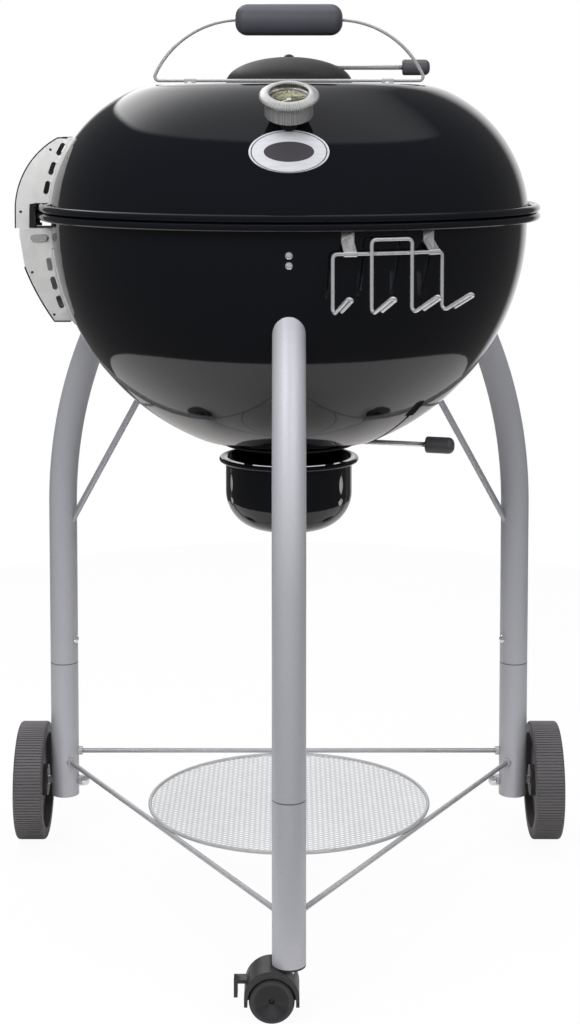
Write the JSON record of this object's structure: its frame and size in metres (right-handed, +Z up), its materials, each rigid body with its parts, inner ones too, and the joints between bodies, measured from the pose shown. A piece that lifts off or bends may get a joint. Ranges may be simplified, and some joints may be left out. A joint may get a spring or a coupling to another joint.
{
  "type": "kettle charcoal grill",
  "caption": "Round kettle charcoal grill with a hinged domed lid, turning air vents, an ash pot and a tool rack, on tube legs with wheels, a braked caster and a mesh shelf.",
  "frame": {"origin": "on the floor under the kettle's upright axis", "axes": "+Z up; -Y is the front, with the thermometer and the caster leg; -X is the hinge side"},
  "size_m": [0.7078, 0.6607, 1.081],
  "materials": {
    "enamel": "gloss",
    "dark_metal": "satin",
    "hinge_sheet": "satin",
    "chrome": "polished",
    "plate": "brushed",
    "plastic": "matte",
    "dial": "matte",
    "needle": "matte",
    "glass": "clear",
    "grommet": "matte",
    "grate": "satin",
    "tube": "satin",
    "shelf": "satin"
  },
  "bodies": {
    "stand": {"bowl": "enamel", "hinge_bowl_bracket": "hinge_sheet", "hinge_pin": "chrome", "hinge_bowl_rivets": "chrome", "damper_pivot": "chrome", "ash_pot_clips": "hinge_sheet", "grate_brackets": "grate", "stand_screws": "chrome", "leg_joint_sleeves": "tube", "leg_top_bolts": "chrome", "leg_stays": "tube", "shelf_rods": "shelf", "shelf_rod_nuts": "shelf", "shelf_ring": "shelf", "shelf_mesh": "shelf", "wheel_axles": "chrome", "axle_cap_nuts": "chrome", "caster_socket": "plastic", "rack_outer_wire": "chrome", "rack_inner_wire": "chrome", "rack_clips": "chrome", "front_leg_upper": "tube", "front_leg_lower": "tube", "rear_left_leg_upper": "tube", "rear_left_leg_lower": "tube", "rear_right_leg_upper": "tube", "rear_right_leg_lower": "tube"},
    "lid_assembly": {"lid": "enamel", "hinge_lid_bracket": "hinge_sheet", "lid_fasteners": "chrome", "handle_wire": "chrome", "handle_grip": "plastic", "handle_clips": "chrome", "top_vent_pivot": "chrome", "thermometer_case": "chrome", "thermometer_bezel": "chrome", "thermometer_dial": "dial", "thermometer_glass": "glass", "thermometer_stem": "chrome", "thermometer_grommet": "grommet", "oval_plate": "plate"},
    "top_vent": {"top_vent_cap": "dark_metal", "top_vent_shutter": "dark_metal", "top_vent_lever": "chrome", "top_vent_knob": "plastic"},
    "needle": {"thermometer_needle": "needle"},
    "damper": {"damper_disc": "dark_metal", "damper_lever": "chrome", "damper_knob": "plastic"},
    "pot": {"ash_pot": "enamel"},
    "upper_grate": {"cooking_grate": "grate"},
    "lower_grate": {"charcoal_grate": "grate"},
    "wheel_left": {"left_wheel": "plastic"},
    "wheel_right": {"right_wheel": "plastic"},
    "caster": {"caster_hood": "plastic", "caster_stem": "chrome", "caster_axle": "chrome"},
    "caster_wheel_front": {"caster_front_wheel": "plastic"},
    "caster_wheel_rear": {"caster_rear_wheel": "plastic"},
    "brake": {"caster_brake": "plastic"}
  },
  "joints": [
    {"name": "lid_open", "type": "hinge", "parent": "stand", "child": "lid_assembly", "pos_m": [-0.3025, 0, 0.803], "axis": [0, -1, 0], "range_deg": [0, 90]},
    {"name": "top_vent_turn", "type": "hinge", "parent": "lid_assembly", "child": "top_vent", "pos_m": [0, 0.085, 0.984], "axis": [0, 0, 1], "range_deg": [0, 60]},
    {"name": "needle_turn", "type": "hinge", "parent": "lid_assembly", "child": "needle", "pos_m": [0, -0.24368, 0.936], "axis": [0, 0.4848, -0.8746], "range_deg": [0, 250]},
    {"name": "damper_turn", "type": "hinge", "parent": "stand", "child": "damper", "pos_m": [0, 0, 0.56268], "axis": [0, 0, 1], "range_deg": [-60, 0]},
    {"name": "ash_pot_drop", "type": "slide", "parent": "stand", "child": "pot", "axis": [0, 0, -1], "range_m": [0, 0.12]},
    {"name": "cooking_grate_lift", "type": "slide", "parent": "stand", "child": "upper_grate", "axis": [0, 0, 1], "range_m": [0, 0.06]},
    {"name": "charcoal_grate_lift", "type": "slide", "parent": "stand", "child": "lower_grate", "axis": [0, 0, 1], "range_m": [0, 0.1]},
    {"name": "left_wheel_spin", "type": "hinge", "parent": "stand", "child": "wheel_left", "pos_m": [-0.33545, 0.17, 0.07525], "axis": [1, 0, 0], "continuous": true},
    {"name": "right_wheel_spin", "type": "hinge", "parent": "stand", "child": "wheel_right", "pos_m": [0.33545, 0.17, 0.07525], "axis": [1, 0, 0], "continuous": true},
    {"name": "caster_swivel", "type": "hinge", "parent": "stand", "child": "caster", "pos_m": [0, -0.34, 0.055], "axis": [0, 0, 1], "continuous": true},
    {"name": "caster_front_wheel_spin", "type": "hinge", "parent": "caster", "child": "caster_wheel_front", "pos_m": [-0.018, -0.34, 0.024], "axis": [0, 1, 0], "continuous": true},
    {"name": "caster_rear_wheel_spin", "type": "hinge", "parent": "caster", "child": "caster_wheel_rear", "pos_m": [-0.018, -0.34, 0.024], "axis": [0, 1, 0], "continuous": true},
    {"name": "caster_brake_press", "type": "hinge", "parent": "caster", "child": "brake", "pos_m": [-0.0415, -0.34, 0.04], "axis": [0, -1, 0], "range_deg": [0, 15]}
  ]
}
